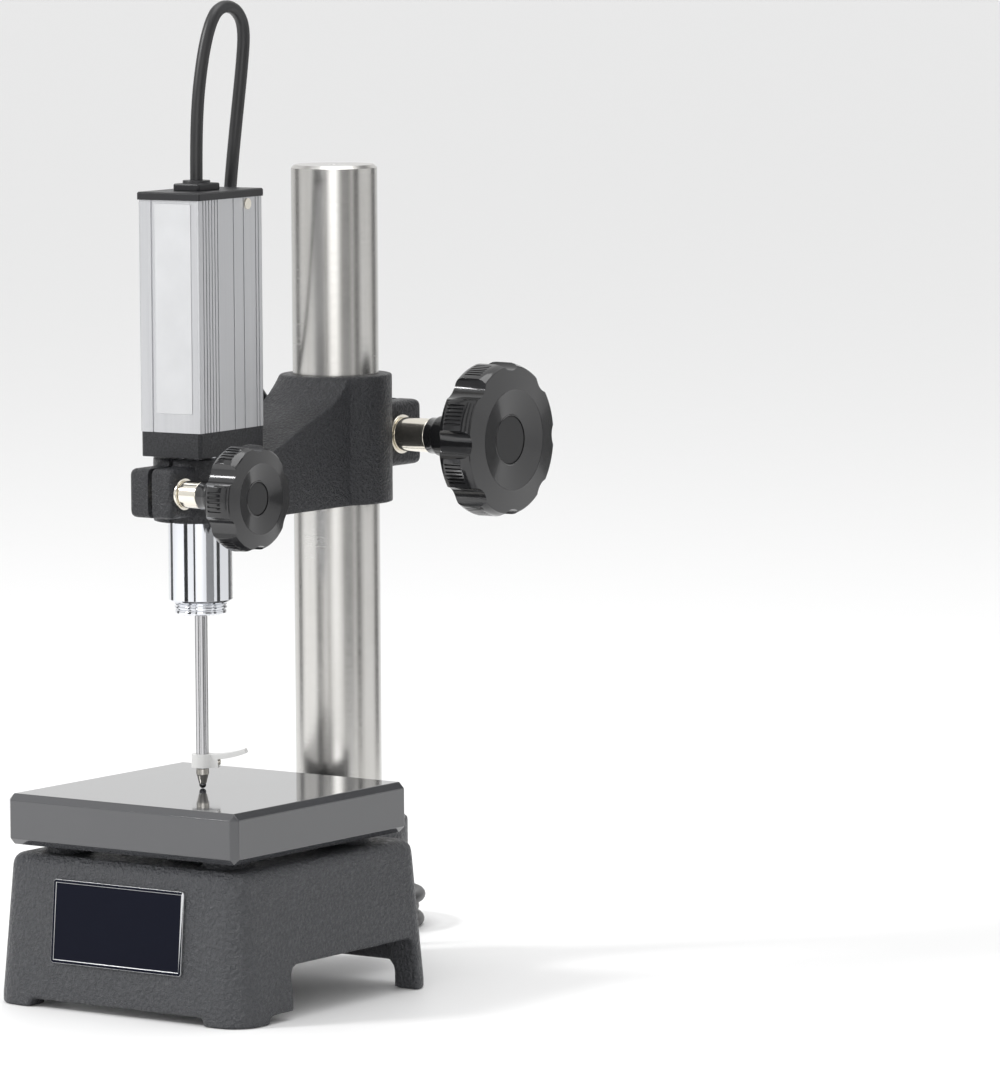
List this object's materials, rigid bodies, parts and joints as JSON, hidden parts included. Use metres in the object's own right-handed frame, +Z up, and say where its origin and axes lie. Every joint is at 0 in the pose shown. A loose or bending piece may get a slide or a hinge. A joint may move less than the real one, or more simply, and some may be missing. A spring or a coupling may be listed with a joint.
{
  "type": "digital length gauge on comparator stand",
  "caption": "Bench comparator: a length gauge with a lifting spindle, held in a height-adjustable arm on a round column over a lapped measuring table on a cast base.",
  "frame": {"origin": "where the contact tip meets the measuring table's upper face, on the gauge's axis", "axes": "+Z up along the gauge's axis, +Y towards the column, +X towards the side with the two clamp knobs"},
  "size_m": [0.1313, 0.2136, 0.3119],
  "materials": {
    "cast_grey_paint": "textured wrinkle paint over cast iron",
    "ceramic_grey": "lapped grey ceramic, smooth and glossy",
    "ground_steel": "ground steel",
    "plain_steel": "zinc-plated steel",
    "insert_brass": "turned brass",
    "plate_navy": "dark screen-printed plate with a bare metal rim",
    "arm_charcoal_paint": "fine textured paint over cast iron",
    "nickel": "nickel plated",
    "housing_aluminium": "satin anodised extrusion",
    "label_white": "blank printed film",
    "black_plastic": "moulded black plastic, fine texture",
    "knob_black": "glossy moulded black plastic",
    "stem_chrome": "hard-chromed steel",
    "bush_bronze": "sintered bronze",
    "rubber_black": "nitrile rubber",
    "board_green": "glass-fibre board",
    "scale_glass": "clear glass",
    "spring_steel": "spring steel",
    "ball_carbide": "polished tungsten carbide",
    "lever_white": "white nylon",
    "cable_black": "black flexible sheath, satin",
    "contact_gold": "gold-plated contacts"
  },
  "bodies": {
    "stand": {"base_casting": "cast_grey_paint", "measuring_table": "ceramic_grey", "table_inserts": "insert_brass", "table_washers": "plain_steel", "table_screws": "plain_steel", "column": "ground_steel", "column_washer": "plain_steel", "column_bolt": "plain_steel", "column_grub_screw": "plain_steel", "maker_plate": "plate_navy", "cable_coil": "cable_black", "connector_boot": "rubber_black", "connector_shell": "nickel", "coupling_ring": "nickel", "connector_insert": "black_plastic", "connector_contacts": "contact_gold"},
    "arm": {"arm": "arm_charcoal_paint", "column_clamp_washer": "nickel", "holder_clamp_washer": "nickel", "housing": "housing_aluminium", "blank_label": "label_white", "top_cap": "black_plastic", "cap_screws": "nickel", "strain_relief": "black_plastic", "bottom_block": "black_plastic", "block_screws": "plain_steel", "stem": "stem_chrome", "stem_lock_nut": "plain_steel", "stem_nose": "stem_chrome", "guide_bush": "bush_bronze", "stop_ring": "rubber_black", "reading_head": "black_plastic", "encoder_board": "board_green", "board_screws": "plain_steel", "spring_post": "plain_steel", "return_spring": "spring_steel", "cable": "cable_black"},
    "spindle": {"spindle": "ground_steel", "contact_tip": "plain_steel", "tip_ball": "ball_carbide", "lifting_lever": "lever_white", "lever_screw": "nickel", "scale_carrier": "plain_steel", "glass_scale": "scale_glass", "spring_bracket": "plain_steel"},
    "column_knob": {"column_clamp_screw": "nickel", "column_clamp_knob": "knob_black", "column_knob_cap": "black_plastic"},
    "holder_knob": {"holder_clamp_screw": "nickel", "holder_clamp_knob": "knob_black", "holder_knob_cap": "black_plastic"}
  },
  "joints": [
    {"name": "arm_height", "type": "slide", "parent": "stand", "child": "arm", "axis": [0, 0, 1], "range_m": [0, 0.06]},
    {"name": "spindle_lift", "type": "slide", "parent": "arm", "child": "spindle", "axis": [0, 0, 1], "range_m": [0, 0.043], "stiffness_N_per_m": 10, "springref_m": -0.06, "deforming": ["return_spring"]},
    {"name": "column_knob_turn", "type": "hinge", "parent": "arm", "child": "column_knob", "pos_m": [0.03, 0.095, 0.1047], "axis": [1, 0, 0], "range_deg": [0, 270]},
    {"name": "holder_knob_turn", "type": "hinge", "parent": "arm", "child": "holder_knob", "pos_m": [0.02, -0.0195, 0.0946], "axis": [1, 0, 0], "range_deg": [0, 270]}
  ]
}
